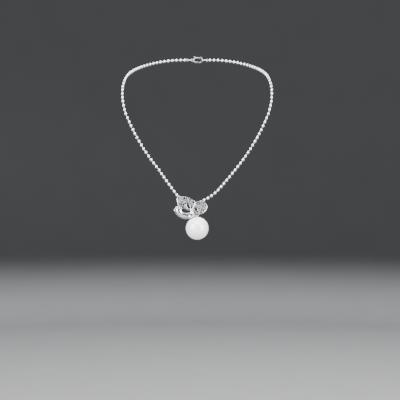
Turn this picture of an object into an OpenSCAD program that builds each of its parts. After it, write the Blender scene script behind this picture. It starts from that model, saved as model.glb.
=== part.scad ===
// Pendant necklace: ball chain, openwork butterfly set with small stones, hanging pearl drop.
// Worn position: +Z up, the front faces -Y, the origin is the middle of the clasp at the nape.

/* [Chain] */
// ball diameter
ball_d = 2.4; // [1.5:0.1:4]
// distance from one ball to the next
pitch = 3.4; // [2.2:0.1:6]
// wall of a hollow ball
ball_wall = 0.15; // [0.1:0.05:0.3]
// diameter of the hole that a link passes through
hole_d = 0.88; // [0.5:0.02:1.4]
// diameter of a link's rod
rod_d = 0.48; // [0.3:0.02:0.9]
// diameter of a link's round head
head_d = 1.0; // [0.6:0.02:1.6]
// distance from a ball's centre to the head inside it
head_in = 0.68; // [0.4:0.02:1]

/* [Loop] */
// half width where the front strands begin
hinge_x = 55.4; // [40:0.2:80]
// height of that place above the butterfly's upper left tip
hinge_rise = 64; // [50:0.5:80]
// balls on each side of the nape, counted from the front strands
nape_n = 33; // [24:1:45]
// steepest backward lean of the chain on the shoulder
shoulder_lean = 69.49; // [45:0.01:80]
// balls in each of the two upper front lengths
band_n = 7; // [4:1:10]
// balls in the lowest length on the left
left_n = 8; // [5:1:12]
// balls in the lowest length on the right
right_n = 11; // [6:1:14]

/* [Eyes and rings] */
// centre radius of an eye at a chain end
eye_r = 0.75; // [0.5:0.05:1.5]
// wire radius of an eye
eye_w = 0.22; // [0.15:0.01:0.4]
// distance from the last ball's centre to the eye's centre
eye_reach = 2.3; // [2:0.05:4]
// centre radius of the jump ring on the clasp's tail
tail_ring_r = 1.7; // [1.2:0.1:3]
// centre radius of the ring that the clasp hooks
hook_ring_r = 2.2; // [1.6:0.1:4]
// wire radius of both rings
ring_w = 0.3; // [0.2:0.02:0.5]

/* [Clasp] */
// thickness of the claw
claw_t = 1.2; // [0.8:0.1:2]
// thickness at the lever's pivot
cheek_t = 2.3; // [1.8:0.1:4]
// inner radius of the claw
claw_in = 1.5; // [1:0.1:3]
// width of the claw's band
claw_band = 0.85; // [0.5:0.05:1.5]
// radius of the pivot pin
pin_r = 0.3; // [0.2:0.02:0.6]
// radial play between lever and pin
pin_play = 0.04; // [0.01:0.01:0.1]

/* [Butterfly] */
// thickness of the two stone-set wings
wing_t = 1.2; // [0.8:0.1:2]
// thickness of the crescent wing behind them
crescent_t = 1.0; // [0.6:0.1:2]
// distance from the chain's plane back to the wings' back face
wing_back = 1.8; // [1.4:0.1:3]
// diameter of a stone
stone_d = 1.2; // [0.8:0.05:2]
// distance between stones
stone_pitch = 1.4; // [1:0.05:2.5]
// metal left around the outermost stones
stone_rim = 0.25; // [0.15:0.05:0.8]
// play between a stone and its seat
stone_play = 0.02; // [0.01:0.01:0.05]

/* [Pearl] */
// diameter of the pearl
pearl_d = 17.8; // [10:0.2:25]
// height of the pearl's centre below the butterfly's upper left tip
pearl_drop = 25.2; // [20:0.1:40]
// sideways place of the pearl
pearl_x = 0.1; // [-3:0.1:3]
// centre radius of the ring that carries the pearl
pearl_ring_r = 1.0; // [0.9:0.05:1.2]
// wire radius of that ring
pearl_wire = 0.42; // [0.25:0.01:0.45]
// radius of the peg in the drilled pearl
peg_r = 0.4; // [0.3:0.05:0.8]

/* [Hidden] */
$fn = 48;

steel = [0.80, 0.81, 0.83];
silver = [0.86, 0.86, 0.88];
crystal = [0.92, 0.95, 1.0];
nacre = [0.96, 0.95, 0.93];

ball_r = ball_d / 2;
cavity_r = ball_r - ball_wall;
front_n = 2 * band_n;

// Chain curve. lean is backward, turn is outward from the vertical, both in degrees.
function nape_turn(i) = lookup(i, [[0, 17], [4, 4], [8, -15], [13, -43], [20, -66], [nape_n - 1, -90]]);
function nape_lean(i) = lookup(i, [[0, 8], [8, 46], [12, shoulder_lean], [17, shoulder_lean], [nape_n - 1, 0]]);
function up_step(i) = pitch * [cos(nape_lean(i)) * sin(nape_turn(i)), sin(nape_lean(i)),
  cos(nape_lean(i)) * cos(nape_turn(i))];
function front_turn(i) = 22 + 16 * i / (front_n - 1);
function left_turn(i) = i < front_n ? front_turn(i) : lookup(i - front_n, [[0, 38], [1, 34], [7, 37]]);
function right_turn(i) = i < front_n ? front_turn(i)
  : lookup(i - front_n, [[0, 38], [6, 42], [8, 51], [10, 63]]);
function down_step(a) = pitch * [-sin(a), 0, -cos(a)];

nape_raw = [for (i = 0, q = [hinge_x, 0, 0]; i <= nape_n; q = q + up_step(i), i = i + 1) q];
nape_end = nape_raw[nape_n];
shift = [0, -nape_end[1], -nape_end[2]];
front_y = shift[1];
tip_z = shift[2] - hinge_rise;

function mirror_x(list) = [for (q = list) [-q[0], q[1], q[2]]];
nape_right = [for (q = nape_raw) q + shift];
nape_left = mirror_x(nape_right);
front_right = [for (i = 0, q = nape_right[0]; i <= front_n + right_n;
  q = q + down_step(right_turn(i)), i = i + 1) q];
front_left = mirror_x([for (i = 0, q = nape_right[0]; i <= front_n + left_n;
  q = q + down_step(left_turn(i)), i = i + 1) q]);

// Where the eyes and pivots of the pendant lie.
left_last = front_left[front_n + left_n];
right_last = front_right[front_n + right_n];
left_eye = left_last + eye_reach * [sin(41), 0, -cos(41)];
right_eye = right_last + (eye_reach + 0.6) * [-sin(62), 0, -cos(62)];
axis_tilt = atan2(left_eye[2] - right_eye[2], right_eye[0] - left_eye[0]);
eye_down = [-sin(axis_tilt), 0, -cos(axis_tilt)];
left_pivot = left_eye + eye_r * eye_down;
right_pivot = right_eye + eye_r * eye_down;

// Pearl suspension, heights measured from the butterfly's upper left tip.
gap = 0.05;
pearl_y = 0.1;
staple_leg = -13.95;
staple_wire = 0.25;
pearl_staple_r = 0.775;
ring_top = staple_leg + staple_wire + pearl_wire + gap;
ring_bottom = ring_top - 2 * pearl_ring_r;
cap_eye_w = 0.22;
cap_eye_r = pearl_wire + cap_eye_w + 0.08;
cap_eye_z = ring_bottom + pearl_wire + cap_eye_w + gap - cap_eye_r;
pearl_r = pearl_d / 2;

// Outlines of the butterfly, seen from the front, smoothed into closed curves.
upper_left_pts = [[-14.9, -0.1], [-12.2, -0.3], [-9.2, -0.5], [-6.4, -1.3], [-3.9, -2.8], [-1.6, -4.5],
  [-2.3, -7.4], [-3.9, -10.1], [-5.2, -10.8], [-7.3, -10.3], [-9.2, -8.9], [-11.3, -8.5],
  [-13.0, -7.4], [-14.7, -7.1], [-15.3, -4.6], [-15.6, -2.0]];
right_pts = [[-1.2, -4.7], [1.0, -4.3], [3.1, -3.9], [5.3, -4.8], [7.2, -6.3], [7.9, -8.0],
  [7.5, -10.0], [6.3, -11.8], [4.6, -13.2], [2.4, -14.1], [-0.4, -14.0], [-2.6, -13.4],
  [-4.0, -11.6], [-3.6, -10.0], [-2.1, -7.5]];
crescent_pts = [[-16.8, -9.0], [-17.8, -10.8], [-17.2, -12.8], [-15.6, -14.9], [-13.3, -16.5], [-10.8, -17.6],
  [-8.5, -18.0], [-6.0, -17.4], [-3.7, -16.6], [-1.9, -15.6], [0.4, -14.9], [1.9, -14.3],
  [1.7, -13.75], [0, -13.7], [-1.9, -13.35], [-3.2, -12.3], [-4.6, -10.6], [-8.0, -9.6], [-11.4, -8.1],
  [-13.6, -7.5], [-15.6, -7.8]];
opening_pts = [[-11.6, -9.7], [-12.3, -11.2], [-11.1, -12.9], [-8.2, -13.4], [-5.7, -13.0],
  [-5.2, -12.0], [-6.8, -11.2], [-9.5, -10.0]];
slit_pts = [[-11.7, -14.3], [-9.5, -14.2], [-6.5, -15.0], [-6.7, -15.7], [-9.3, -15.4]];
marquise_pts = [[-8.1, -6.1], [-6.4, -6.6], [-5.3, -8.4], [-5.3, -9.9], [-6.8, -9.4], [-7.95, -8.0]];
teardrop_pts = [[-2.5, -10.9], [-1.5, -9.9], [-0.3, -9.5], [0.6, -10.2], [0.2, -11.3], [-1.2, -11.7]];
right_slit_pts = [[-2.9, -12.4], [-0.6, -12.7], [1.9, -13.0], [1.7, -13.5], [-0.6, -13.4], [-2.5, -13.0]];

function spline(a, b, c, d, t) = 0.5 * (2 * b + (c - a) * t + (2 * a - 5 * b + 4 * c - d) * t * t
  + (3 * b - a - 3 * c + d) * t * t * t);
function closed_curve(p, n = 4) = let (m = len(p)) [for (i = [0 : m - 1], k = [0 : n - 1])
  spline(p[(i + m - 1) % m], p[i], p[(i + 1) % m], p[(i + 2) % m], k / n)];

upper_left_outline = closed_curve(upper_left_pts);
right_outline = closed_curve(right_pts);
crescent_outline = closed_curve(crescent_pts);
marquise_hole = closed_curve(marquise_pts);
teardrop_hole = closed_curve(teardrop_pts);
right_slit = closed_curve(right_slit_pts);

// The slender body between the wings.
body_top = [-5.3, -10.0];
body_bottom = [-2.9, -15.2];
body_r = 0.85;

// Distance helpers that place stones only where a whole seat fits.
function seg_dist(q, a, b) = let (ab = b - a, t = max(0, min(1, (q - a) * ab / (ab * ab)))) norm(q - a - ab * t);
function edge_dist(q, poly) = min([for (i = [0 : len(poly) - 1])
  seg_dist(q, poly[i], poly[(i + 1) % len(poly)])]);
function crosses(q, a, b) = (a[1] > q[1]) != (b[1] > q[1])
  && q[0] < (b[0] - a[0]) * (q[1] - a[1]) / (b[1] - a[1]) + a[0] ? 1 : 0;
function total(v, i = 0) = i < len(v) ? v[i] + total(v, i + 1) : 0;
function inside(q, poly) = total([for (i = [0 : len(poly) - 1])
  crosses(q, poly[i], poly[(i + 1) % len(poly)])]) % 2 == 1;
stone_room = stone_d / 2 + stone_rim;
function fits(q, poly, holes) = inside(q, poly) && edge_dist(q, poly) > stone_room
  && len([for (h = holes) if (inside(q, h) || edge_dist(q, h) < stone_room - 0.1) 1]) == 0
  && seg_dist(q, body_top, body_bottom) > body_r + stone_d / 2;
function grid(start, turn, rows, cols) = [for (r = [0 : rows - 1], c = [0 : cols - 1])
  let (u = (c + (r % 2) / 2) * stone_pitch, v = -r * stone_pitch * sin(60))
  start + [u * cos(turn) - v * sin(turn), u * sin(turn) + v * cos(turn)]];
upper_left_spots = [for (q = grid([-15.65, 3], -9, 14, 14))
  if (fits(q, upper_left_outline, [marquise_hole])) q];
right_spots = [for (q = grid([-5.7, 0.45], -30, 14, 14))
  if (fits(q, right_outline, [teardrop_hole, right_slit])) q];
// The crescent's stones follow its outer edge, each on a ray from one centre.
crescent_centre = [-9, -10];
function ray_hit(c, d, a, b) = let (e = b - a, w = a - c, den = d[0] * e[1] - d[1] * e[0])
  abs(den) < 1e-6 ? 0 : let (s = (w[0] * d[1] - w[1] * d[0]) / den, t = (w[0] * e[1] - w[1] * e[0]) / den)
  s >= 0 && s <= 1 ? t : 0;
function ray_reach(c, d, poly) = max([for (i = [0 : len(poly) - 1])
  ray_hit(c, d, poly[i], poly[(i + 1) % len(poly)])]);
crescent_spots = [for (k = [0 : 9]) let (a = 182 + 11.6 * k, d = [cos(a), sin(a)])
  crescent_centre + (ray_reach(crescent_centre, d, crescent_outline) - stone_room - 0.15) * d];

// Clasp places, in the plane of the chain's ends.
end_x = nape_end[0];
eye_x = end_x - eye_reach;
tail_ring_x = -eye_x + eye_r - eye_w - ring_w - 0.03 + tail_ring_r;
tail_hole_r = 0.8;
tail_x = tail_ring_x + tail_ring_r + tail_hole_r - ring_w - 0.12;
hook_ring_x = eye_x - (eye_r - eye_w - ring_w - 0.03) - hook_ring_r;
claw_right = hook_ring_x - hook_ring_r + ring_w + 0.12 - claw_in;
claw_left = -0.9;
claw_out = claw_in + claw_band;
pin_x = -1.7;
pin_z = 1.75;

module aim(from, to) {
  d = (to - from) / norm(to - from);
  translate(from)
    rotate([0, acos(d[2]), atan2(d[1], d[0])])
      children();
}

module torus(r, w) {
  rotate_extrude()
    translate([r, 0])
      circle(r = w, $fn = 24);
}

module ball(before, at, after) {
  translate(at)
    aim([0, 0, 0], after - before)
      difference() {
        sphere(r = ball_r);
        sphere(r = cavity_r);
        cylinder(h = 2 * ball_d, d = hole_d, center = true);
      }
}

module link(a, b) {
  length = norm(b - a);
  aim(a, b) {
    translate([0, 0, head_in])
      sphere(d = head_d);
    translate([0, 0, length - head_in])
      sphere(d = head_d);
    translate([0, 0, head_in])
      cylinder(h = length - 2 * head_in, d = rod_d, $fn = 24);
  }
}

// Balls first..last of a strand; the strand must hold one more place at each end.
module balls(strand, first, last) {
  color(silver)
    for (i = [first : last])
      ball(strand[i - 1], strand[i], strand[i + 1]);
}

module links(strand, first, last) {
  color(silver)
    for (i = [first : last])
      link(strand[i], strand[i + 1]);
}

// Eye link: a head inside the last ball, a short rod and a flat eye in the plane of the strand.
module eye_link(last_ball, eye) {
  color(silver) {
    aim(last_ball, eye) {
      translate([0, 0, head_in])
        sphere(d = head_d, $fn = 32);
      translate([0, 0, head_in])
        cylinder(h = norm(eye - last_ball) - head_in - eye_r, d = rod_d, $fn = 24);
    }
    translate(eye)
      rotate([90, 0, 0])
        torus(eye_r, eye_w);
  }
}

// Strands with the places before and after them, so that every ball has both holes.
left_nape_line = concat([front_left[1]], nape_left, [[-eye_x, 0, 0]]);
right_nape_line = concat([front_right[1]], nape_right, [[eye_x, 0, 0]]);
left_front_line = concat(front_left, [left_eye]);
right_front_line = concat(front_right, [right_eye]);

module nape_beads_left() balls(left_nape_line, 1, nape_n + 1);
module nape_beads_right() balls(right_nape_line, 1, nape_n + 1);
module nape_links_left() links(left_nape_line, 1, nape_n);
module nape_links_right() links(right_nape_line, 1, nape_n);
module upper_beads_left() balls(left_front_line, 1, band_n);
module upper_beads_right() balls(right_front_line, 1, band_n);
module upper_links_left() links(left_front_line, 0, band_n - 1);
module upper_links_right() links(right_front_line, 0, band_n - 1);
module middle_beads_left() balls(left_front_line, band_n + 1, front_n);
module middle_beads_right() balls(right_front_line, band_n + 1, front_n);
module middle_links_left() links(left_front_line, band_n, front_n - 1);
module middle_links_right() links(right_front_line, band_n, front_n - 1);
module lower_beads_left() balls(left_front_line, front_n + 1, front_n + left_n);
module lower_beads_right() balls(right_front_line, front_n + 1, front_n + right_n);
module lower_links_left() links(left_front_line, front_n, front_n + left_n - 1);
module lower_links_right() links(right_front_line, front_n, front_n + right_n - 1);

module clasp_eye_left() eye_link(nape_left[nape_n], [-eye_x, 0, 0]);
module clasp_eye_right() eye_link(nape_right[nape_n], [eye_x, 0, 0]);
module pendant_eye_left() eye_link(left_last, left_eye);
module pendant_eye_right() eye_link(right_last, right_eye);

module clasp_tail_ring() {
  color(silver)
    translate([tail_ring_x, 0, 0])
      torus(tail_ring_r, ring_w);
}

module clasp_hook_ring() {
  color(silver)
    translate([hook_ring_x, 0, 0])
      torus(hook_ring_r, ring_w);
}

// Flat shapes stand upright: drawn in X and Z, thick along Y, centred on y = 0.
module upright(t) {
  rotate([90, 0, 0])
    linear_extrude(t, center = true)
      children();
}

module stadium(r) {
  translate([claw_left, 0])
    circle(r = r);
  translate([claw_right, 0])
    circle(r = r);
  translate([claw_left, -r])
    square([claw_right - claw_left, 2 * r]);
}

module clasp_body() {
  color(silver)
    difference() {
      union() {
        upright(claw_t)
          difference() {
            stadium(claw_out);
            translate([claw_left, claw_in - 0.4])
              square([2.8, 2]);
          }
        upright(1)
          translate([tail_x, 0])
            circle(r = tail_hole_r + 0.55);
        upright(cheek_t)
          intersection() {
            translate([claw_left, 0])
              circle(r = claw_out);
            translate([-4, 0.2])
              square([3.1, 4]);
          }
      }
      upright(4)
        stadium(claw_in);
      upright(4)
        translate([tail_x, 0])
          circle(r = tail_hole_r);
      translate([-4, -0.78, 0.95])
        cube([6, 1.56, 4]);
      upright(6)
        translate([pin_x, pin_z])
          circle(r = pin_r, $fn = 32);
    }
}

module clasp_lever() {
  color(silver)
    difference() {
      union() {
        translate([pin_x, -0.3, pin_z])
          rotate([90, 0, 0])
            cylinder(h = 0.8, r = 0.58, center = true);
        translate([pin_x, -0.7, 1.55])
          cube([0.9, 0.8, 0.7]);
        translate([pin_x + 0.75, -0.5, 1.55])
          cube([2.72, 1, 0.7]);
        translate([pin_x, -0.3, pin_z])
          rotate([0, -35, 0])
            translate([-0.4, -0.4, 0])
              cube([0.8, 0.8, 1.7]);
      }
      translate([pin_x, 0, pin_z])
        rotate([90, 0, 0])
          cylinder(h = 4, r = pin_r + pin_play, center = true, $fn = 32);
    }
}

module clasp_pin() {
  color(steel)
    translate([pin_x, 0, pin_z])
      rotate([90, 0, 0])
        cylinder(h = cheek_t, r = pin_r, center = true, $fn = 32);
}

module clasp_spring() {
  color(steel)
    translate([pin_x, 0.45, pin_z])
      rotate([90, 0, 0]) {
        translate([0, 0, -0.1])
          torus(0.47, 0.11);
        translate([0, 0, 0.1])
          torus(0.47, 0.11);
      }
}

// Butterfly parts are drawn from the front at the height of the upper left tip.
module plate(back, t) {
  translate([0, front_y - back, tip_z])
    rotate([90, 0, 0])
      linear_extrude(t)
        children();
}

module body_solid(grow) {
  length = norm(body_bottom - body_top);
  a = [body_top[0], front_y - wing_back - 0.5 * wing_t, tip_z + body_top[1]];
  b = [body_bottom[0], front_y - wing_back - 0.5 * wing_t, tip_z + body_bottom[1]];
  aim(a, b)
    rotate_extrude()
      polygon(concat([[0, -grow]], [for (k = [0 : 12])
        let (s = k / 12)
        [grow + body_r * (0.18 + 0.82 * sqrt(max(0, sin(180 * s)))), s * length]], [[0, length + grow]]));
}

module seats(spots, back, t) {
  for (q = spots)
    translate([q[0], front_y - back - t - 0.1, tip_z + q[1]])
      rotate([-90, 0, 0]) {
        cylinder(h = t - 0.25, d = stone_d + 2 * stone_play, $fn = 24);
        cylinder(h = t + 1, d = 0.5, $fn = 16);
      }
}

// A stone: flat table, sloping crown, thin girdle and pointed pavilion.
module stones(spots, back, t) {
  color(crystal)
    for (q = spots)
      translate([q[0], front_y - back - t - 0.12, tip_z + q[1]])
        rotate([-90, 0, 0])
          rotate_extrude($fn = 24)
            polygon([[0, 0], [0.3 * stone_d, 0], [0.5 * stone_d, 0.17 * stone_d], [0.5 * stone_d, 0.22 * stone_d],
              [0.08, 0.62 * stone_d], [0, 0.62 * stone_d]]);
}

module upper_left_wing() {
  color(silver)
    difference() {
      plate(wing_back, wing_t)
        difference() {
          polygon(upper_left_outline);
          polygon(marquise_hole);
        }
      seats(upper_left_spots, wing_back, wing_t);
      body_solid(0.02);
    }
}

module right_wing() {
  color(silver)
    difference() {
      plate(wing_back, wing_t)
        difference() {
          polygon(right_outline);
          polygon(teardrop_hole);
          polygon(right_slit);
          left_wing_clearance();
        }
      seats(right_spots, wing_back, wing_t);
      body_solid(0.02);
    }
}

// The left wing's edge, stepped aside a hair so that the two wings meet without overlapping.
module left_wing_clearance() {
  for (a = [0 : 45 : 315])
    translate(0.02 * [cos(a), sin(a)])
      polygon(upper_left_outline);
}

module lower_left_wing() {
  color(silver)
    difference() {
      plate(wing_back - crescent_t, crescent_t)
        difference() {
          polygon(crescent_outline);
          polygon(closed_curve(opening_pts));
          polygon(closed_curve(slit_pts));
          translate([-14.6, -9.0])
            circle(r = 0.5, $fn = 24);
        }
      seats(crescent_spots, wing_back - crescent_t, crescent_t);
      body_solid(0.02);
    }
}

module wing_eyelet() {
  color(silver)
    plate(wing_back, 0.9)
      translate([-14.6, -9.0])
        difference() {
          circle(r = 1.2, $fn = 32);
          circle(r = 0.5, $fn = 24);
        }
}

module butterfly_body() {
  color(silver)
    body_solid(0);
}

module upper_left_stones() stones(upper_left_spots, wing_back, wing_t);
module right_stones() stones(right_spots, wing_back, wing_t);
module lower_left_stones() stones(crescent_spots, wing_back - crescent_t, crescent_t);

// A staple: two legs that stand on back faces, joined by a half ring. back and low_back are how far forward of
// the chain's plane its upper and lower leg reach.
module staple(leg_z, r, back, low_back, reach) {
  for (leg = [[leg_z, back], [leg_z - 2 * r, low_back]])
    translate([0, -leg[1], leg[0]])
      rotate([-90, 0, 0])
        cylinder(h = leg[1] + reach, r = staple_wire, $fn = 24);
  translate([0, reach, leg_z - r])
    rotate([0, 90, 0])
      rotate_extrude(angle = 180)
        translate([r, 0])
          circle(r = staple_wire, $fn = 24);
}

module pendant_staple(pivot) {
  color(silver)
    translate(pivot)
      rotate([0, axis_tilt, 0])
        staple(eye_w + staple_wire + 0.08, 0.85, wing_back, wing_back, 0);
}

module pendant_staple_left() pendant_staple(left_pivot);
module pendant_staple_right() pendant_staple(right_pivot);

module pearl_staple() {
  color(silver)
    translate([pearl_x, front_y, tip_z])
      staple(staple_leg + 2 * pearl_staple_r, pearl_staple_r, wing_back, wing_back - crescent_t, pearl_y);
}

module pearl_ring() {
  color(silver)
    translate([pearl_x, front_y + pearl_y, tip_z + ring_top - pearl_ring_r])
      rotate([90, 0, 0])
        torus(pearl_ring_r, pearl_wire);
}

module pearl_cap() {
  color(silver)
    translate([pearl_x, front_y + pearl_y, tip_z]) {
      translate([0, 0, cap_eye_z])
        rotate([0, 90, 0])
          torus(cap_eye_r, cap_eye_w);
      translate([0, 0, -pearl_drop])
        difference() {
          intersection() {
            sphere(r = pearl_r + 0.35);
            cylinder(h = 20, r = 1.9);
          }
          sphere(r = pearl_r + 0.01);
        }
      translate([0, 0, -pearl_drop + pearl_r - 6])
        cylinder(h = 6.2, r = peg_r);
    }
}

module pearl() {
  color(nacre)
    translate([pearl_x, front_y + pearl_y, tip_z - pearl_drop])
      difference() {
        sphere(r = pearl_r, $fn = 96);
        translate([0, 0, pearl_r - 6.2])
          cylinder(h = 8, r = peg_r + 0.02);
      }
}

nape_beads_left();
nape_beads_right();
nape_links_left();
nape_links_right();
upper_beads_left();
upper_beads_right();
upper_links_left();
upper_links_right();
middle_beads_left();
middle_beads_right();
middle_links_left();
middle_links_right();
lower_beads_left();
lower_beads_right();
lower_links_left();
lower_links_right();
clasp_eye_left();
clasp_eye_right();
clasp_tail_ring();
clasp_hook_ring();
clasp_body();
clasp_lever();
clasp_pin();
clasp_spring();
pendant_eye_left();
pendant_eye_right();
pendant_staple_left();
pendant_staple_right();
upper_left_wing();
lower_left_wing();
right_wing();
butterfly_body();
wing_eyelet();
upper_left_stones();
lower_left_stones();
right_stones();
pearl_staple();
pearl_ring();
pearl_cap();
pearl();
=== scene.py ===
"""Pendant necklace: the visible pieces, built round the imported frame."""
import math
import random

import bmesh
import bpy
import numpy as np
from mathutils import Matrix, Vector
from mathutils.geometry import delaunay_2d_cdt


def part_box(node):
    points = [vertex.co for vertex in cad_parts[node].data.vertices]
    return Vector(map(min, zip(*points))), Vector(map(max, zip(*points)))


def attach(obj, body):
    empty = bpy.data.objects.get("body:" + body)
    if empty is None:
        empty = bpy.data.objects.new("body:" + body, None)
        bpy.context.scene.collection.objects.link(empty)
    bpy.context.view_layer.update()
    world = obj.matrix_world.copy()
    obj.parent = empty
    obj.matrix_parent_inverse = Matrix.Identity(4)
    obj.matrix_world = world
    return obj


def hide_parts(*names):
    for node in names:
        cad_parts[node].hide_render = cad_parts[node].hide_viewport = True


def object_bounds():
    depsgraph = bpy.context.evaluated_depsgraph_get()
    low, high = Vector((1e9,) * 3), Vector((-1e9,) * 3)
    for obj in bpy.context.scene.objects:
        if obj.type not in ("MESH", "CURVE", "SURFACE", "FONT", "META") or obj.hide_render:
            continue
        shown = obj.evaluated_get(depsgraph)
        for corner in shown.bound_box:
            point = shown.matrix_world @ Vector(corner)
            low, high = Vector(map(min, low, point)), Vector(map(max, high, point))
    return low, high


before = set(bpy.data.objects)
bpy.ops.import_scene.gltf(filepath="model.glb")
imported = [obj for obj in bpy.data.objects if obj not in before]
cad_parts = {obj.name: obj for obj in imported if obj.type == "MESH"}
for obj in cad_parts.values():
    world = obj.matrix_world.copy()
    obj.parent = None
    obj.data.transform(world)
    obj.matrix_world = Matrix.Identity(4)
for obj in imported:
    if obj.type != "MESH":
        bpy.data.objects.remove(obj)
cad_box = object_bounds()
MM = 0.001
BALL_R = 1.2 * MM
BALL_INNER = 1.05 * MM
HOLE_R = 0.48 * MM
STONE_D = 1.2 * MM
chance = random.Random(7)

# ---------------------------------------------------------------- places taken from the frame

CHAIN_BODIES = {
    "nape": "nape_chain", "upper": "upper_drape", "middle": "middle_drape", "lower": "lower_drape"}


def node_mesh(name):
    """A CAD node as a bmesh with its split vertices joined."""
    mesh = bmesh.new()
    mesh.from_mesh(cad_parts[name].data)
    bmesh.ops.remove_doubles(mesh, verts=mesh.verts[:], dist=1e-7)
    return mesh


def islands(name):
    """The separate solids of a CAD node, as (centre, size) of each one's box. They are sorted by place, so
    that every run draws the same random number for the same solid."""
    mesh = node_mesh(name)
    left = set(mesh.verts)
    found = []
    while left:
        stack = [left.pop()]
        low, high = stack[0].co.copy(), stack[0].co.copy()
        while stack:
            vert = stack.pop()
            for axis in range(3):
                low[axis] = min(low[axis], vert.co[axis])
                high[axis] = max(high[axis], vert.co[axis])
            for edge in vert.link_edges:
                other = edge.other_vert(vert)
                if other in left:
                    left.remove(other)
                    stack.append(other)
        found.append(((low + high) / 2, high - low))
    mesh.free()
    return sorted(found, key=lambda box: tuple(box[0]))


def merged(boxes, reach):
    """Boxes nearer to each other than reach, joined: a hollow ball is two shells."""
    kept = []
    for centre, size in sorted(boxes, key=lambda box: -box[1].length):
        if all((centre - other).length > reach for other, _ in kept):
            kept.append((centre, size))
    return kept


def box_centre(name):
    low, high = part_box(name)
    return (Vector(low) + Vector(high)) / 2


def strand(side):
    """Every ball of one side from the nape to the pendant, as (stretch, centre)."""
    loose = []
    for stretch in CHAIN_BODIES:
        for centre, _ in merged(islands(f"{stretch}_beads_{side}"), BALL_INNER):
            loose.append((stretch, centre))
    at = box_centre(f"clasp_eye_{side}")
    ordered = []
    while loose:
        nearest = min(loose, key=lambda ball: (ball[1] - at).length)
        loose.remove(nearest)
        ordered.append(nearest)
        at = nearest[1]
    return ordered


def section(name, y):
    """Closed loops where a CAD node crosses the upright plane at y, as (x, z) points, largest first. Each
    starts at its leftmost point, so that every run gives the same loop."""
    mesh = node_mesh(name)
    everything = mesh.verts[:] + mesh.edges[:] + mesh.faces[:]
    cut = bmesh.ops.bisect_plane(
        mesh, geom=everything, plane_co=(0, y, 0), plane_no=(0, 1, 0), clear_inner=True, clear_outer=True)
    edges = {item for item in cut["geom_cut"] if isinstance(item, bmesh.types.BMEdge)}
    loops = []
    while edges:
        edge = min(edges, key=lambda e: sorted(tuple(v.co) for v in e.verts))
        edges.remove(edge)
        start, at = sorted(edge.verts, key=lambda v: tuple(v.co))
        points = [start.co.copy()]
        while at is not start:
            points.append(at.co.copy())
            onward = [e for e in at.link_edges if e in edges]
            if not onward:
                break
            edges.remove(onward[0])
            at = onward[0].other_vert(at)
        loops.append([Vector((p.x, p.z)) for p in points])
    mesh.free()
    return sorted(loops, key=lambda loop: -abs(area(loop)))


def area(loop):
    """The area inside a loop, below zero if it runs clockwise."""
    return sum(a.x * b.y - b.x * a.y for a, b in zip(loop, loop[1:] + loop[:1])) / 2


# ---------------------------------------------------------------- mesh building

class Solid:
    """Vertices and faces of one piece, gathered from many small parts. paint is a face's material."""

    def __init__(self):
        self.verts, self.faces, self.paint = [], [], []

    def add(self, verts, faces, place=None, paint=0):
        first = len(self.verts)
        self.verts += [place @ v if place else v for v in verts]
        self.faces += [tuple(first + i for i in face) for face in faces]
        self.paint += [paint] * len(faces)

    def mesh(self, name, sharp=40):
        mesh = bpy.data.meshes.new(name)
        mesh.from_pydata([tuple(v) for v in self.verts], [], self.faces)
        mesh.polygons.foreach_set("material_index", self.paint)
        tidy = bmesh.new()
        tidy.from_mesh(mesh)
        bmesh.ops.recalc_face_normals(tidy, faces=tidy.faces[:])
        tidy.to_mesh(mesh)
        tidy.free()
        mesh.shade_smooth()
        mesh.set_sharp_from_angle(angle=math.radians(sharp))
        return mesh


def lathe(profile, segments, closed=False, groove=0.0):
    """A profile of (radius, height) turned about Z. closed joins its last point to its first. groove sinks
    one narrow meridian, like the seam of a rolled ball."""
    turns = [2 * math.pi * i / segments for i in range(segments)]
    depth = [1.0] * segments
    if groove:
        turns = [0.0] + [0.05 + (2 * math.pi - 0.1) * i / (segments - 2) for i in range(segments - 1)]
        depth = [1.0 - groove] + [1.0] * (segments - 1)
    verts, rows = [], []
    for radius, height in profile:
        if radius < 1e-9:
            rows.append([len(verts)])
            verts.append(Vector((0, 0, height)))
            continue
        rows.append(list(range(len(verts), len(verts) + segments)))
        verts += [Vector((radius * k * math.cos(t), radius * k * math.sin(t), height))
                  for t, k in zip(turns, depth)]
    faces = []
    pairs = list(zip(rows, rows[1:])) + ([(rows[-1], rows[0])] if closed else [])
    for low, high in pairs:
        for i in range(segments):
            j = (i + 1) % segments
            if len(low) == 1:
                faces.append((low[0], high[i], high[j]))
            elif len(high) == 1:
                faces.append((low[i], high[0], low[j]))
            else:
                faces.append((low[i], high[i], high[j], low[j]))
    return verts, faces


def arc(centre, radius, start, end, steps):
    """Points of an arc in (radius, height), angles in degrees from the outward direction."""
    turns = [math.radians(start + (end - start) * i / steps) for i in range(steps + 1)]
    return [(centre[0] + radius * math.cos(t), centre[1] + radius * math.sin(t)) for t in turns]


def torus(ring, wire, around, across):
    """A round wire bent to a ring about Z."""
    profile = arc((ring, 0), wire, 0, 360 - 360 / across, across - 1)
    return lathe(profile, around, closed=True)


def aim(origin, direction, spin=0.0):
    """A matrix that puts Z along direction, at origin."""
    turn = Vector(direction).to_track_quat("Z", "Y").to_matrix().to_4x4()
    return Matrix.Translation(origin) @ turn @ Matrix.Rotation(spin, 4, "Z")


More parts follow.
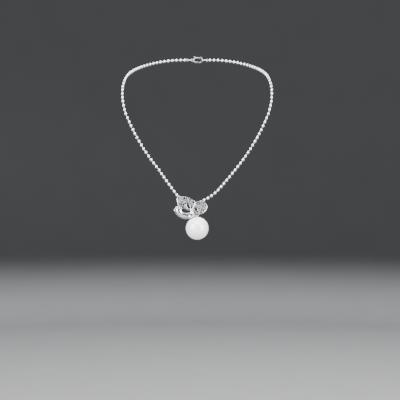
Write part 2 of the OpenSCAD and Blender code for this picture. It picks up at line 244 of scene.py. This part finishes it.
def sweep(loop, y, wire, across=8):
    """A round wire along a loop of (x, z) points in the upright plane at y."""
    verts, faces = [], []
    count = len(loop)
    path = [Vector((p.x, y, p.y)) for p in loop]
    for i, point in enumerate(path):
        along = (path[(i + 1) % count] - path[i - 1]).normalized()
        side = along.cross(Vector((0, -1, 0))).normalized()
        up = side.cross(along)
        for k in range(across):
            turn = 2 * math.pi * k / across
            verts.append(point + wire * (side * math.cos(turn) + up * math.sin(turn)))
    for i in range(count):
        j = (i + 1) % count
        for k in range(across):
            m = (k + 1) % across
            faces.append((i * across + k, j * across + k, j * across + m, i * across + m))
    return verts, faces


def add_piece(name, mesh, materials, body, node):
    """A piece that rides on a body in place of a CAD node."""
    piece = bpy.data.objects.new(name, mesh)
    bpy.context.scene.collection.objects.link(piece)
    for each in materials:
        mesh.materials.append(each)
    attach(piece, body)
    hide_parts(node)


# ---------------------------------------------------------------- materials

def material(name):
    """A new material, with its node tree and its shader."""
    made = bpy.data.materials.new(name)
    made.use_nodes = True
    return made, made.node_tree, made.node_tree.nodes["Principled BSDF"]


def noise(tree, scale, detail=4.0, stretch=(1, 1, 1)):
    """Noise in the piece's own metres, scale in waves per millimetre."""
    where = tree.nodes.new("ShaderNodeTexCoord")
    fit = tree.nodes.new("ShaderNodeMapping")
    fit.inputs["Scale"].default_value = stretch
    tree.links.new(where.outputs["Object"], fit.inputs["Vector"])
    grain = tree.nodes.new("ShaderNodeTexNoise")
    grain.inputs["Scale"].default_value = scale / MM
    grain.inputs["Detail"].default_value = detail
    tree.links.new(fit.outputs["Vector"], grain.inputs["Vector"])
    return grain.outputs["Fac"]


def ramp(tree, value, low, high, start=0.3, end=0.7):
    """Values from start to end spread over low to high."""
    spread = tree.nodes.new("ShaderNodeMapRange")
    spread.inputs["From Min"].default_value = start
    spread.inputs["From Max"].default_value = end
    spread.inputs["To Min"].default_value = low
    spread.inputs["To Max"].default_value = high
    tree.links.new(value, spread.inputs["Value"])
    return spread.outputs["Result"]


def tint(tree, value, dark, light):
    """A colour between dark and light."""
    blend = tree.nodes.new("ShaderNodeMix")
    blend.data_type = "RGBA"
    blend.inputs["A"].default_value = (*dark, 1)
    blend.inputs["B"].default_value = (*light, 1)
    tree.links.new(value, blend.inputs["Factor"])
    return blend.outputs["Result"]


def bump(tree, shader, value, height):
    """Relief of so many millimetres."""
    lift = tree.nodes.new("ShaderNodeBump")
    lift.inputs["Distance"].default_value = height * MM
    lift.inputs["Strength"].default_value = 0.6
    tree.links.new(value, lift.inputs["Height"])
    tree.links.new(lift.outputs["Normal"], shader.inputs["Normal"])


def metal(name, dark, light, rough, scratch, height):
    """Polished plate: cloudy tint, roughness that wanders, and hair scratches along one way."""
    made, tree, shader = material(name)
    shader.inputs["Metallic"].default_value = 1.0
    cloud = noise(tree, 0.35)
    tree.links.new(tint(tree, cloud, dark, light), shader.inputs["Base Color"])
    tree.links.new(ramp(tree, noise(tree, 1.2, 6), *rough), shader.inputs["Roughness"])
    bump(tree, shader, noise(tree, scratch, 3, (1, 1, 0.12)), height)
    return made


def crystal_material():
    """Clear stone. Its colour is painted from dark to bright from one stone to the next: painted glints and
    painted shade in place of facets that catch the light or don't.
    """
    made, tree, shader = material("clear_crystal")
    shader.inputs["Transmission Weight"].default_value = 1.0
    shader.inputs["IOR"].default_value = 1.9
    painted_glint = ramp(tree, noise(tree, 0.6, 2), 0, 1, 0.42, 0.56)
    # Painted glints and shade: a noise paints each stone's colour from near black to white.
    tree.links.new(tint(tree, painted_glint, (0.16, 0.18, 0.22), (0.95, 0.97, 1)), shader.inputs["Base Color"])
    tree.links.new(ramp(tree, noise(tree, 2.0), 0.0, 0.04), shader.inputs["Roughness"])
    return made


def pearl_material():
    """Nacre: a white body under a clear coat, with faint growth clouds and an overtone."""
    made, tree, shader = material("white_nacre")
    clouds = noise(tree, 0.12, 3, (1, 1, 1.8))
    tree.links.new(tint(tree, clouds, (0.86, 0.85, 0.83), (0.90, 0.895, 0.885)), shader.inputs["Base Color"])
    tree.links.new(ramp(tree, noise(tree, 0.8, 5), 0.22, 0.30), shader.inputs["Roughness"])
    shader.inputs["Subsurface Weight"].default_value = 0.25
    shader.inputs["Subsurface Radius"].default_value = (1.0, 0.85, 0.7)
    shader.inputs["Subsurface Scale"].default_value = 1.2 * MM
    shader.inputs["Coat Weight"].default_value = 1.0
    shader.inputs["Coat Roughness"].default_value = 0.05
    shader.inputs["Coat IOR"].default_value = 1.85
    bump(tree, shader, noise(tree, 0.25, 2), 0.03)
    return made


silver = metal("rhodium_plate", (0.78, 0.78, 0.80), (0.90, 0.90, 0.91), (0.08, 0.18), 9.0, 0.004)
chain_silver = metal("chain_plate", (0.74, 0.74, 0.76), (0.88, 0.88, 0.89), (0.12, 0.24), 6.0, 0.004)
wire_steel = metal("spring_wire", (0.42, 0.43, 0.45), (0.56, 0.57, 0.59), (0.25, 0.40), 14.0, 0.006)
crystal = crystal_material()
nacre = pearl_material()

# ---------------------------------------------------------------- camera, light and floor

front_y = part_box("upper_beads_left")[0][1] + BALL_R
tip_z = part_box("upper_left_wing")[1][2]
VIEW_WIDTH = 312 * MM
LENS = 135.0
SENSOR = 36.0
look_at = Vector((2.3 * MM, front_y, tip_z - 3.1 * MM))
distance = VIEW_WIDTH * LENS / SENSOR
elevation = math.radians(3)

camera_data = bpy.data.cameras.new("camera")
camera_data.lens = LENS
camera_data.sensor_width = SENSOR
camera_data.clip_start = 0.01
camera = bpy.data.objects.new("camera", camera_data)
bpy.context.scene.collection.objects.link(camera)
camera.location = look_at + distance * Vector((0, -math.cos(elevation), math.sin(elevation)))
camera.rotation_euler = (math.radians(90) - elevation, 0, 0)
bpy.context.scene.camera = camera


middle = Vector((0, front_y, tip_z))


def area_light(name, offset, size, power):
    """A soft lamp that stands at offset from the pendant's top and faces it."""
    data = bpy.data.lights.new(name, "AREA")
    data.shape = "RECTANGLE"
    data.size, data.size_y = size
    data.energy = power
    lamp = bpy.data.objects.new(name, data)
    bpy.context.scene.collection.objects.link(lamp)
    lamp.location = middle + Vector(offset)
    lamp.rotation_euler = (middle - lamp.location).to_track_quat("-Z", "Y").to_euler()


area_light("left", (-0.95, -0.75, 0.30), (0.9, 1.1), 47)
area_light("right", (0.95, -0.75, 0.25), (0.9, 1.1), 39)
area_light("top", (0, -0.45, 1.05), (1.3, 0.9), 40)
area_light("behind", (0.3, 0.85, 0.85), (1.2, 0.7), 18)

world = bpy.data.worlds.new("studio")
world.use_nodes = True
world.node_tree.nodes["Background"].inputs["Color"].default_value = (0.8, 0.85, 0.95, 1)
world.node_tree.nodes["Background"].inputs["Strength"].default_value = 0.16
bpy.context.scene.world = world


def studio_floor():
    """A round pale floor that curves up on every side into a wall, dark so that bright metal stands out."""
    floor_z = cad_box[0][2] - 0.25
    reach, curve, height = 1.3, 0.4, 2.6
    pale_rise = 0.1
    bend = arc((reach, curve), curve, -90, 0, 14)
    shape = Solid()
    profile = [(0, 0), (reach, 0)] + bend[1:] + [(reach + curve, height)]
    shape.add(*lathe(profile, 96), Matrix.Translation((0, 0, floor_z)))
    mesh = shape.mesh("studio_floor", sharp=60)
    made, tree, shader = material("pale_paper")
    pale = tint(tree, noise(tree, 0.02), (0.24, 0.243, 0.248), (0.27, 0.273, 0.278))
    deep = tint(tree, noise(tree, 0.02), (0.020, 0.0205, 0.0225), (0.024, 0.0245, 0.027))
    where = tree.nodes.new("ShaderNodeTexCoord")
    split = tree.nodes.new("ShaderNodeSeparateXYZ")
    tree.links.new(where.outputs["Object"], split.inputs["Vector"])
    rise = tree.nodes.new("ShaderNodeMapRange")
    rise.interpolation_type = "SMOOTHSTEP"
    rise.inputs["From Min"].default_value = floor_z
    rise.inputs["From Max"].default_value = floor_z + pale_rise
    tree.links.new(split.outputs["Z"], rise.inputs["Value"])
    blend = tree.nodes.new("ShaderNodeMix")
    blend.data_type = "RGBA"
    tree.links.new(rise.outputs["Result"], blend.inputs["Factor"])
    tree.links.new(pale, blend.inputs["A"])
    tree.links.new(deep, blend.inputs["B"])
    tree.links.new(blend.outputs["Result"], shader.inputs["Base Color"])
    shader.inputs["Roughness"].default_value = 0.85
    mesh.materials.append(made)
    floor = bpy.data.objects.new("studio_floor", mesh)
    bpy.context.scene.collection.objects.link(floor)


studio_floor()

# ---------------------------------------------------------------- chain


def ball_shape():
    """A rolled hollow ball: outer skin, small lips round both holes, inner skin."""
    lip = 0.06 * MM
    edge = math.degrees(math.acos((HOLE_R + lip) / BALL_R))
    inner_edge = math.degrees(math.acos(HOLE_R / BALL_INNER))
    outer = arc((0, 0), BALL_R, -edge, edge, 16)
    inner = arc((0, 0), BALL_INNER, inner_edge, -inner_edge, 8)
    top = [(HOLE_R + 0.3 * lip, outer[-1][1] + 0.25 * lip), (HOLE_R, outer[-1][1] - 0.5 * lip)]
    bottom = [(r, -z) for r, z in reversed(top)]
    return lathe(outer + top + inner + bottom, 28, closed=True, groove=0.02)


def link_shape(length):
    """A dumbbell of drawn wire: round heads, a slightly waisted rod."""
    head, rod, inset = 0.49 * MM, 0.24 * MM, 0.68 * MM
    start = math.degrees(math.asin(rod / head))
    low = [(r, z) for r, z in arc((0, inset), head, -90, 90 - start, 10)]
    low[0] = (0, low[0][1])
    waist = [(rod * 0.92, length * share) for share in (0.42, 0.5, 0.58)]
    high = [(r, length - z) for r, z in reversed(low)]
    return lathe(low + waist + high, 14)


ball_verts, ball_faces = ball_shape()
chain_links = {}
for side in ("left", "right"):
    balls = strand(side)
    places = [centre for _, centre in balls]
    first = places[0] * 2 - places[1]
    last = places[-1] * 2 - places[-2]
    shells = {stretch: Solid() for stretch in CHAIN_BODIES}
    wires = {stretch: Solid() for stretch in CHAIN_BODIES}
    for i, (stretch, centre) in enumerate(balls):
        before = places[i - 1] if i else first
        after = places[i + 1] if i + 1 < len(places) else last
        spin = chance.uniform(0, 2 * math.pi)
        shells[stretch].add(ball_verts, ball_faces, aim(centre, after - before, spin))
        if i + 1 < len(balls):
            gap = after - centre
            wires[balls[i + 1][0]].add(*link_shape(gap.length), aim(centre, gap))
    for stretch, body in CHAIN_BODIES.items():
        beads = f"{stretch}_beads_{side}"
        links = f"{stretch}_links_{side}"
        add_piece(f"{beads}_rolled", shells[stretch].mesh(beads), [chain_silver], body, beads)
        add_piece(f"{links}_wire", wires[stretch].mesh(links), [chain_silver], body, links)


# ---------------------------------------------------------------- butterfly


def resample(loop, step):
    """A closed loop with points at even steps, softened once."""
    points = [Vector(p) for p in loop]
    lengths = [(b - a).length for a, b in zip(points, points[1:] + points[:1])]
    count = max(12, round(sum(lengths) / step))
    gap = sum(lengths) / count
    even, i, run = [], 0, 0.0
    for k in range(count):
        while run + lengths[i] < k * gap and i < len(lengths) - 1:
            run += lengths[i]
            i += 1
        share = (k * gap - run) / max(lengths[i], 1e-12)
        even.append(points[i].lerp(points[(i + 1) % len(points)], share))
    soft = [(even[i - 1] + 2 * even[i] + even[(i + 1) % count]) / 4 for i in range(count)]
    return soft if area(soft) > 0 else soft[::-1]


def inset(loop, depth):
    """The loop moved to its own inside by depth; a negative depth moves it out."""
    moved = []
    for i, point in enumerate(loop):
        along = (loop[(i + 1) % len(loop)] - loop[i - 1]).normalized()
        moved.append(point + depth * Vector((-along.y, along.x)))
    return moved


def distances(points, loops):
    """For each point, the distance to the nearest edge of any loop."""
    at = np.array([(p.x, p.y) for p in points])
    best = np.full(len(at), 1e9)
    for loop in loops:
        a = np.array([(p.x, p.y) for p in loop])
        ab = np.roll(a, -1, axis=0) - a
        reach = at[:, None, :] - a[None]
        share = np.clip((reach * ab).sum(2) / (ab * ab).sum(1), 0, 1)
        best = np.minimum(best, np.linalg.norm(reach - share[..., None] * ab, axis=2).min(1))
    return best


def within(points, loop):
    """Which points lie inside a loop."""
    at = np.array([(p.x, p.y) for p in points])
    a = np.array([(p.x, p.y) for p in loop])
    b = np.roll(a, -1, axis=0)
    straddle = (a[:, 1] > at[:, None, 1]) != (b[:, 1] > at[:, None, 1])
    rise = np.where(b[:, 1] == a[:, 1], 1e-12, b[:, 1] - a[:, 1])
    cross = at[:, None, 0] < (b[:, 0] - a[:, 0]) * (at[:, None, 1] - a[:, 1]) / rise + a[:, 0]
    return (straddle & cross).sum(1) % 2 == 1


def ring_of(centre, radius, count=16):
    turns = [2 * math.pi * i / count for i in range(count)]
    return [centre + radius * Vector((math.cos(t), math.sin(t))) for t in turns]


def field(outer, holes, seats, step):
    """Triangles that fill outer less holes and seats, with a grid of points inside. It gives the points, the
    faces, and which points each loop has."""
    loops = [outer] + holes + seats
    points = [p for loop in loops for p in loop]
    edges, ranges = [], []
    for loop in loops:
        first = len(edges)
        ranges.append(list(range(first, first + len(loop))))
        edges += [(first + i, first + (i + 1) % len(loop)) for i in range(len(loop))]
    low = Vector((min(p.x for p in outer), min(p.y for p in outer)))
    high = Vector((max(p.x for p in outer), max(p.y for p in outer)))
    grid = []
    for row in range(int((high.y - low.y) / (step * 0.87)) + 1):
        for column in range(int((high.x - low.x) / step) + 1):
            grid.append(low + Vector(((column + row % 2 / 2) * step, row * step * 0.87)))
    clear = distances(grid, loops) > step * 0.6
    keep = clear & within(grid, outer)
    for loop in holes + seats:
        keep &= ~within(grid, loop)
    points += [p for p, k in zip(grid, keep) if k]
    made = delaunay_2d_cdt(points, edges, [], 0, 1e-9)
    middles = [(made[0][a] + made[0][b] + made[0][c]) / 3 for a, b, c in made[2]]
    solid = within(middles, outer)
    for loop in holes + seats:
        solid &= ~within(middles, loop)
    origin = []
    for place, ids in zip(made[0], made[3]):
        origin.append(ids[0] if ids else len(points))
        if not ids:
            points.append(place)
    faces = [tuple(origin[i] for i in face) for face, k in zip(made[2], solid) if k]
    return points, faces, ranges


def plate(outer, holes, stones, front, back, soft, step, height):
    """A pierced plate with edges rounded by soft and a drilled seat under every stone. step is the front's
    mesh size, and height(points) is how far the front stands before its plane."""
    shape = Solid()
    steps = [(1.0, 0.0), (0.29, 0.29), (0.0, 1.0)]
    seat_front = [ring_of(s, 0.47 * STONE_D) for s in stones]
    seat_back = [ring_of(s, 0.19 * STONE_D) for s in stones]
    face = [inset(outer, soft)] + [inset(h, -soft) for h in holes]
    tops = field(face[0], face[1:], seat_front, step)
    lows = field(face[0], face[1:], seat_back, 0.8 * MM)
    lift = height(tops[0])
    front_verts = [Vector((p.x, front - h, p.y)) for p, h in zip(tops[0], lift)]
    shape.add(front_verts, tops[1], paint=1)
    shape.add([Vector((p.x, back, p.y)) for p in lows[0]], lows[1])
    for k, loop in enumerate([outer] + holes):
        sign = 1 if k == 0 else -1
        rows = [[Vector((p.x, back - soft * depth, p.y)) for p in inset(loop, sign * soft * move)]
                for move, depth in steps]
        rows += [[Vector((p.x, front + soft * depth, p.y)) for p in inset(loop, sign * soft * move)]
                 for move, depth in reversed(steps[1:])]
        rows.append([front_verts[i] for i in tops[2][k]])
        shape.add(*tube(rows))
    for k, seat in enumerate(stones):
        first = 1 + len(holes) + k
        mouth = [front_verts[i] for i in tops[2][first]]
        rows = [mouth]
        for radius, depth in ((0.46, 0.25), (0.19, 0.62)):
            ring = ring_of(seat, radius * STONE_D)
            rows.append([Vector((p.x, front + depth * STONE_D, p.y)) for p in ring])
        rows.append([Vector((p.x, back, p.y)) for p in seat_back[k]])
        shape.add(*tube(rows))
    return shape


def tube(rows):
    """Faces that join rows of the same number of points into a closed wall."""
    count = len(rows[0])
    verts = [p for row in rows for p in row]
    faces = []
    for r in range(len(rows) - 1):
        for i in range(count):
            j = (i + 1) % count
            faces.append((r * count + i, r * count + j, (r + 1) * count + j, (r + 1) * count + i))
    return verts, faces


def beads_between(stones, loops):
    """Places for the small grains that hold the stones: beside the middle of every pair of neighbours."""
    spots = []
    for i, a in enumerate(stones):
        for b in stones[i + 1:]:
            gap = b - a
            if gap.length > 1.45 * STONE_D:
                continue
            aside = Vector((-gap.y, gap.x)) * 0.29
            for spot in ((a + b) / 2 + aside, (a + b) / 2 - aside):
                free = all((spot - s).length > 0.52 * STONE_D for s in stones)
                if free and all((spot - other).length > 0.35 * MM for other in spots):
                    spots.append(spot)
    room = distances(spots, loops) > 0.2 * MM
    inside = within(spots, loops[0])
    for loop in loops[1:]:
        inside &= ~within(spots, loop)
    return [s for s, r, k in zip(spots, room, inside) if r and k]


def grain_shape(radius):
    """A small half-round grain on a peg, its top along Z."""
    profile = [(0, radius)] + [(r, z) for r, z in reversed(arc((0, 0), radius, 0, 80, 4))]
    return lathe(profile + [(radius, -radius), (0, -radius)], 10)


def stone_shape():
    """A small brilliant, its table at z = 0 and its point below, as deep as the CAD's."""
    d = STONE_D
    turn = [math.pi * k / 8 for k in range(16)]

    def at(radius, k, z):
        return Vector((radius * d * math.cos(turn[k]), radius * d * math.sin(turn[k]), -z * d))

    table = [at(0.29, 2 * k, 0) for k in range(8)]
    crown = [at(0.41, 2 * k + 1, 0.075) for k in range(8)]
    girdle = [at(0.5, k, 0.17) for k in range(16)]
    under = [at(0.5, k, 0.21) for k in range(16)]
    verts = table + crown + girdle + under + [Vector((0, 0, -0.6 * d))]
    faces = [tuple(range(8))]
    for k in range(8):
        n = (k + 1) % 8
        faces += [(k, 8 + k, n), (8 + k, 16 + 2 * k, 16 + 2 * k + 1), (8 + k, 16 + 2 * k + 1, 16 + 2 * n)]
        faces.append((n, 8 + k, 16 + 2 * n, 8 + n))
    for k in range(16):
        n = (k + 1) % 16
        faces += [(16 + k, 32 + k, 32 + n, 16 + n), (32 + k, 48, 32 + n)]
    return verts, faces


def stones_piece(node, body):
    """Every stone of a CAD node, cut, each turned its own way; returns their places seen from the front."""
    low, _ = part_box(node)
    gems, places = Solid(), []
    verts, faces = stone_shape()
    tilt = 0.06
    for centre, _ in islands(node):
        lean = Vector((chance.uniform(-tilt, tilt), -1, chance.uniform(-tilt, tilt)))
        top = Vector((centre.x, low.y + 0.02 * MM, centre.z))
        gems.add(verts, faces, aim(top, lean, chance.uniform(0, math.pi)))
        places.append(Vector((centre.x, centre.z)))
    add_piece(f"{node}_cut", gems.mesh(node, sharp=4), [crystal], body, node)
    return places


def outline_of(node):
    """The outer loop and the real holes of a wing, cut just in front of its back face."""
    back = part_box(node)[1].y
    loops = section(node, back - 0.12 * MM)
    loops = [resample(loop, 0.3 * MM) for loop in loops if abs(area(loop)) > 0.4 * MM * MM]
    return loops[0], loops[1:]


def pave_wing(node, gems):
    """A wing whose field lies a step below a polished rim, filled with stones and their grains."""
    low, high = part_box(node)
    stones = stones_piece(gems, "butterfly")
    outer, holes = outline_of(node)
    wire = 0.15 * MM
    field_y = low.y + 0.2 * MM

    def flat(points):
        return [0.0] * len(points)

    shape = plate(outer, holes, stones, field_y, high.y, 0.1 * MM, 0.5 * MM, flat)
    for k, loop in enumerate([outer] + holes):
        shape.add(*sweep(inset(loop, wire if k == 0 else -wire), low.y + wire, wire))
    grain = grain_shape(0.16 * MM)
    for spot in beads_between(stones, [outer] + holes):
        shape.add(*grain, aim(Vector((spot.x, low.y + 0.14 * MM, spot.y)), (0, -1, 0)))
    # The front field takes the metal painted near black as shade between the stones; the rim, grains, seats
    # and back stay plain silver.
    add_piece(f"{node}_set", shape.mesh(node, sharp=35), [silver, painted_shade_silver], "butterfly", node)
    return outer


def ease(share):
    """0 to 1, slow at both ends."""
    share = np.clip(share, 0, 1)
    return share * share * (3 - 2 * share)


def crescent_wing(node, gems, front_wings):
    """The polished wing: it swells between its openings and sinks to a channel of stones along its edge, and
    where a front wing lies on it."""
    low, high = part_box(node)
    stones = stones_piece(gems, "butterfly")
    outer, holes = outline_of(node)
    loops = [outer] + holes

    def swell(points):
        lift = np.full(len(points), 0.5 * MM)
        for loop in loops:
            lift *= 1 - np.exp(-(distances(points, [loop]) / (0.85 * MM)) ** 2)
        gap = np.array([min((p - s).length for s in stones) for p in points])
        lift *= ease((gap - 0.6 * MM) / (1.1 * MM))
        for above in front_wings:
            aside = np.where(within(points, above), 0, distances(points, [above]))
            lift *= ease((aside - 0.2 * MM) / (1.2 * MM))
        return lift

    shape = plate(outer, holes, stones, low.y, high.y, 0.14 * MM, 0.28 * MM, swell)
    grain = grain_shape(0.17 * MM)
    for spot in beads_between(stones, loops):
        shape.add(*grain, aim(Vector((spot.x, low.y - 0.02 * MM, spot.y)), (0, -1, 0)))
    add_piece(f"{node}_polished", shape.mesh(node, sharp=35), [silver, silver], "butterfly", node)


# Painted shade: the pavé field between the stones is silver painted near black. It stands in for the shade
# between the stones and the dark reflections in them.
painted_shade_silver = metal("painted_shade_plate", (0.03, 0.03, 0.034), (0.09, 0.09, 0.098), (0.2, 0.32), 5.0, 0.006)
front_outlines = [pave_wing("upper_left_wing", "upper_left_stones"), pave_wing("right_wing", "right_stones")]
crescent_wing("lower_left_wing", "lower_left_stones", front_outlines)


def spindle():
    """The insect's body: a slender polished spindle with faint rings."""
    low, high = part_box("butterfly_body")
    middle_y = (low.y + high.y) / 2
    radius = (high.y - low.y) / 2
    slope = math.atan2(5.2, 2.4)
    half = ((high - low).z - 2 * radius * 0.2 * math.cos(slope)) / math.sin(slope) / 2
    down = Vector((math.cos(slope), 0, -math.sin(slope)))
    centre = Vector(((low.x + high.x) / 2, middle_y, (low.z + high.z) / 2))
    profile = [(0, -half)]
    for k in range(1, 48):
        share = k / 48
        ring = 1 - 0.035 * (0.5 + 0.5 * math.cos(2 * math.pi * share * 8))
        profile.append((radius * ring * math.sin(math.pi * share) ** 0.5, half * (2 * share - 1)))
    profile.append((0, half))
    shape = Solid()
    shape.add(*lathe(profile, 40), aim(centre, down))
    mesh = shape.mesh("butterfly_body")
    add_piece("butterfly_body_turned", mesh, [silver], "butterfly", "butterfly_body")


def eyelet():
    """The small round ring on the crescent's upper corner."""
    low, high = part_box("wing_eyelet")
    outer = (high.x - low.x) / 2
    hole = 0.5 * MM
    across = (outer - hole) / 2
    deep = (high.y - low.y) / 2
    profile = [(hole + across + across * math.cos(t), deep * math.sin(t))
               for t in (2 * math.pi * k / 20 for k in range(20))]
    shape = Solid()
    shape.add(*lathe(profile, 48, closed=True), aim((low + high) / 2, (0, -1, 0)))
    add_piece("wing_eyelet_round", shape.mesh("wing_eyelet"), [silver], "butterfly", "wing_eyelet")


spindle()
eyelet()

# ---------------------------------------------------------------- pearl and its ring


def ring_piece(node, body, normal):
    """A plain wire ring in place of a CAD torus whose hole runs along normal."""
    low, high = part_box(node)
    axis = max(range(3), key=lambda k: abs(normal[k]))
    wire = (high[axis] - low[axis]) / 2
    across = max(high[k] - low[k] for k in range(3))
    shape = Solid()
    shape.add(*torus(across / 2 - wire, wire, 72, 18), aim((low + high) / 2, normal))
    add_piece(f"{node}_wire", shape.mesh(node), [silver], body, node)


def pearl_piece():
    """The drilled pearl; returns its centre and radius."""
    low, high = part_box("pearl")
    centre = Vector(((low.x + high.x) / 2, (low.y + high.y) / 2, low.z + (high.x - low.x) / 2))
    radius = (high.x - low.x) / 2
    drill, depth = 0.42 * MM, 6.2 * MM
    start = math.degrees(math.acos(drill / radius))
    profile = [(0, -radius)] + arc((0, 0), radius, -88.5, start, 110)
    profile += [(drill, radius * 0.97), (drill, radius - depth), (0, radius - depth)]
    shape = Solid()
    shape.add(*lathe(profile, 144), Matrix.Translation(centre))
    add_piece("pearl_nacre", shape.mesh("pearl", sharp=50), [nacre], "pearl_drop", "pearl")
    return centre, radius


def cap_piece(centre, radius):
    """A shallow cup with a grained edge, its eye, and the peg that goes into the drilled pearl."""
    low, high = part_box("pearl_cap")
    cup = 1.85 * MM
    skin = radius + 0.02 * MM
    thick = 0.3 * MM
    shape = Solid()
    edge = math.degrees(math.acos(cup / skin))
    outside = arc((0, 0), skin + thick, edge + 0.5, 90, 10)
    inside = arc((0, 0), skin, 90, edge, 10)
    outside[-1] = (0, outside[-1][1])
    inside[0] = (0, inside[0][1])
    shape.add(*lathe(inside + outside, 56), Matrix.Translation(centre))
    rise = math.sqrt((skin + 0.12 * MM) ** 2 - cup ** 2)
    grain = grain_shape(0.17 * MM)
    for k in range(24):
        turn = 2 * math.pi * k / 24
        outward = Vector((math.cos(turn), math.sin(turn), 0))
        shape.add(*grain, aim(centre + cup * outward + Vector((0, 0, rise)), outward + Vector((0, 0, 2))))
    wire, eye = 0.22 * MM, 0.72 * MM
    shape.add(*torus(eye, wire, 48, 14), aim(Vector((centre.x, centre.y, high.z - eye - wire)), (1, 0, 0)))
    collar = [(0, 0), (0.62 * MM, 0), (0.55 * MM, 0.1 * MM), (0.34 * MM, 0.2 * MM), (0, 0.26 * MM)]
    shape.add(*lathe(collar, 28), Matrix.Translation(centre + Vector((0, 0, radius + thick - 0.02 * MM))))
    thin, long = 0.38 * MM, 5.9 * MM
    peg = [(0, 0), (thin, 0.1 * MM), (thin, long), (0, long)]
    shape.add(*lathe(peg, 20), Matrix.Translation(centre + Vector((0, 0, radius - long))))
    add_piece("pearl_cap_cup", shape.mesh("pearl_cap"), [silver], "pearl_drop", "pearl_cap")


pearl_centre, pearl_radius = pearl_piece()
cap_piece(pearl_centre, pearl_radius)
ring_piece("pearl_ring", "pearl_link", (0, 1, 0))
ring_piece("clasp_tail_ring", "nape_chain", (0, 0, 1))
ring_piece("clasp_hook_ring", "nape_chain", (0, 0, 1))

# ---------------------------------------------------------------- parts that keep their CAD shape

KEPT = {
    "clasp_body": silver, "clasp_lever": silver, "clasp_pin": wire_steel, "clasp_spring": wire_steel,
    "clasp_eye_left": silver, "clasp_eye_right": silver, "pearl_staple": silver,
    "pendant_eye_left": silver, "pendant_eye_right": silver,
    "pendant_staple_left": silver, "pendant_staple_right": silver}
# How often the mesh of each cast part is smoothed, as tumbling rounds a casting.
CAST = {"clasp_body": 14, "clasp_lever": 8}
for name, finish in KEPT.items():
    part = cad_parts[name]
    for place in part.material_slots:
        place.material = finish
    if name in CAST:
        weld = part.modifiers.new("weld", "WELD")
        weld.merge_threshold = 0.001 * MM
        skin = part.modifiers.new("cast_skin", "REMESH")
        skin.mode = "VOXEL"
        skin.voxel_size = 0.1 * MM
        skin.use_smooth_shade = True
        soften = part.modifiers.new("tumbled", "SMOOTH")
        soften.factor = 0.5
        soften.iterations = CAST[name]
